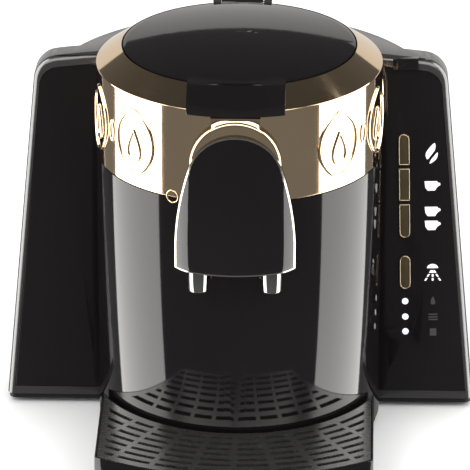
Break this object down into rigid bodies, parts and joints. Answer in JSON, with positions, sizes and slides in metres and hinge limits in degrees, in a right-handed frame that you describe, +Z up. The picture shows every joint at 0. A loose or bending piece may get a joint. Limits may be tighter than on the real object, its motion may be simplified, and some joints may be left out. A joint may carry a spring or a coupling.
{
  "type": "electric coffee maker",
  "caption": "Electric Turkish coffee maker with a round column, mirrored gold band, hooded twin spout, side wings with touch-style keys, rear water tank and drip tray.",
  "frame": {"origin": "centre of the footprint, on the surface it stands on", "axes": "+X to the right seen from the front, +Y to the back, +Z up; the spout faces -Y"},
  "size_m": [0.2708, 0.244, 0.237],
  "materials": {
    "gloss_black": "gloss",
    "matte_black": "matt",
    "rose_gold": "mirror",
    "bright_trim": "mirror",
    "bronze_button": "satin",
    "lamp_white": "clear",
    "rubber": "matt",
    "steel": "brushed",
    "smoked_tank": "clear smoked",
    "grey_plastic": "satin",
    "hose": "satin",
    "circuit_board": "satin"
  },
  "bodies": {
    "machine": {"base_plate": "matte_black", "rubber_feet": "rubber", "base_screws": "steel", "front_column": "gloss_black", "gold_band": "rose_gold", "chamber_carrier": "matte_black", "wing_housing": "gloss_black", "left_fascia": "gloss_black", "right_fascia": "gloss_black", "indicator_lamps": "lamp_white", "panel_board": "circuit_board", "push_switches": "grey_plastic", "tank_socket": "grey_plastic", "brew_chamber": "steel", "heater_plate": "steel", "thermal_cutout": "steel", "temperature_sensor": "steel", "outlet_seal": "rubber", "valve_body": "grey_plastic", "valve_coil": "grey_plastic", "valve_post": "grey_plastic", "spout_hood": "gloss_black", "hood_trim": "bright_trim", "spout_boss": "rose_gold", "spout_manifold": "matte_black", "outlet_pipe": "grey_plastic", "spout_nozzles": "bright_trim", "lid_hinge_bracket": "matte_black", "lid_hinge_pin": "steel", "lid_switch": "grey_plastic", "foam_sensor": "grey_plastic", "pump_body": "grey_plastic", "pump_mounts": "rubber", "suction_hose": "hose", "pressure_hose": "hose", "water_inlet": "grey_plastic", "main_board": "circuit_board", "switch_housing": "matte_black", "mains_inlet": "matte_black", "valve_spring": "steel"},
    "brew_lid": {"brew_lid": "gloss_black", "lid_liner": "grey_plastic", "lid_gasket": "rubber", "lid_magnet": "grey_plastic"},
    "water_tank": {"water_tank": "smoked_tank", "tank_lid_pin": "steel", "tank_outlet": "grey_plastic", "tank_filter": "grey_plastic", "poppet_spring": "steel"},
    "tank_lid": {"tank_lid": "gloss_black", "thumb_tab": "matte_black"},
    "tank_poppet": {"tank_poppet": "grey_plastic"},
    "drip_tray": {"drip_tray": "matte_black"},
    "drip_grille": {"drip_grille": "steel"},
    "valve_plunger": {"valve_plunger": "steel"},
    "power_rocker": {"power_rocker": "matte_black"},
    "button_ember": {"button_ember": "bronze_button"},
    "button_single": {"button_single": "bronze_button"},
    "button_double": {"button_double": "bronze_button"},
    "button_clean": {"button_clean": "bronze_button"}
  },
  "joints": [
    {"name": "brew_lid_hinge", "type": "hinge", "parent": "machine", "child": "brew_lid", "pos_m": [0, 0.087, 0.2284], "axis": [-1, 0, 0], "range_deg": [0, 90]},
    {"name": "tank_lift", "type": "slide", "parent": "machine", "child": "water_tank", "axis": [0, 0, 1], "range_m": [0, 0.03]},
    {"name": "tank_lid_hinge", "type": "hinge", "parent": "water_tank", "child": "tank_lid", "pos_m": [0, 0.112, 0.2063], "axis": [-1, 0, 0], "range_deg": [0, 75]},
    {"name": "poppet_slide", "type": "slide", "parent": "water_tank", "child": "tank_poppet", "axis": [0, 0, 1], "range_m": [-0.0014, 0], "deforming": ["poppet_spring"]},
    {"name": "tray_slide", "type": "slide", "parent": "machine", "child": "drip_tray", "axis": [0, -1, 0], "range_m": [0, 0.07]},
    {"name": "grille_lift", "type": "slide", "parent": "drip_tray", "child": "drip_grille", "axis": [0, 0, 1], "range_m": [0, 0.03]},
    {"name": "valve_slide", "type": "slide", "parent": "machine", "child": "valve_plunger", "axis": [0, 0, -1], "range_m": [0, 0.005], "stiffness_N_per_m": 250, "springref_m": -0.002, "deforming": ["valve_spring"]},
    {"name": "rocker_tilt", "type": "hinge", "parent": "machine", "child": "power_rocker", "pos_m": [-0.104, 0.067, 0.066], "axis": [1, 0, 0], "range_deg": [0, 16]},
    {"name": "button_ember_press", "type": "slide", "parent": "machine", "child": "button_ember", "axis": [0, 0.9965, -0.0839], "range_m": [0, 0.0012], "stiffness_N_per_m": 600, "springref_m": -0.001},
    {"name": "button_single_press", "type": "slide", "parent": "machine", "child": "button_single", "axis": [0, 0.9965, -0.0839], "range_m": [0, 0.0012], "stiffness_N_per_m": 600, "springref_m": -0.001},
    {"name": "button_double_press", "type": "slide", "parent": "machine", "child": "button_double", "axis": [0, 0.9965, -0.0839], "range_m": [0, 0.0012], "stiffness_N_per_m": 600, "springref_m": -0.001},
    {"name": "button_clean_press", "type": "slide", "parent": "machine", "child": "button_clean", "axis": [0, 0.9965, -0.0839], "range_m": [0, 0.0012], "stiffness_N_per_m": 600, "springref_m": -0.001}
  ],
  "couplings": [
    {"joint": "poppet_slide", "follows": "tank_lift", "ratio": -0.046666}
  ]
}
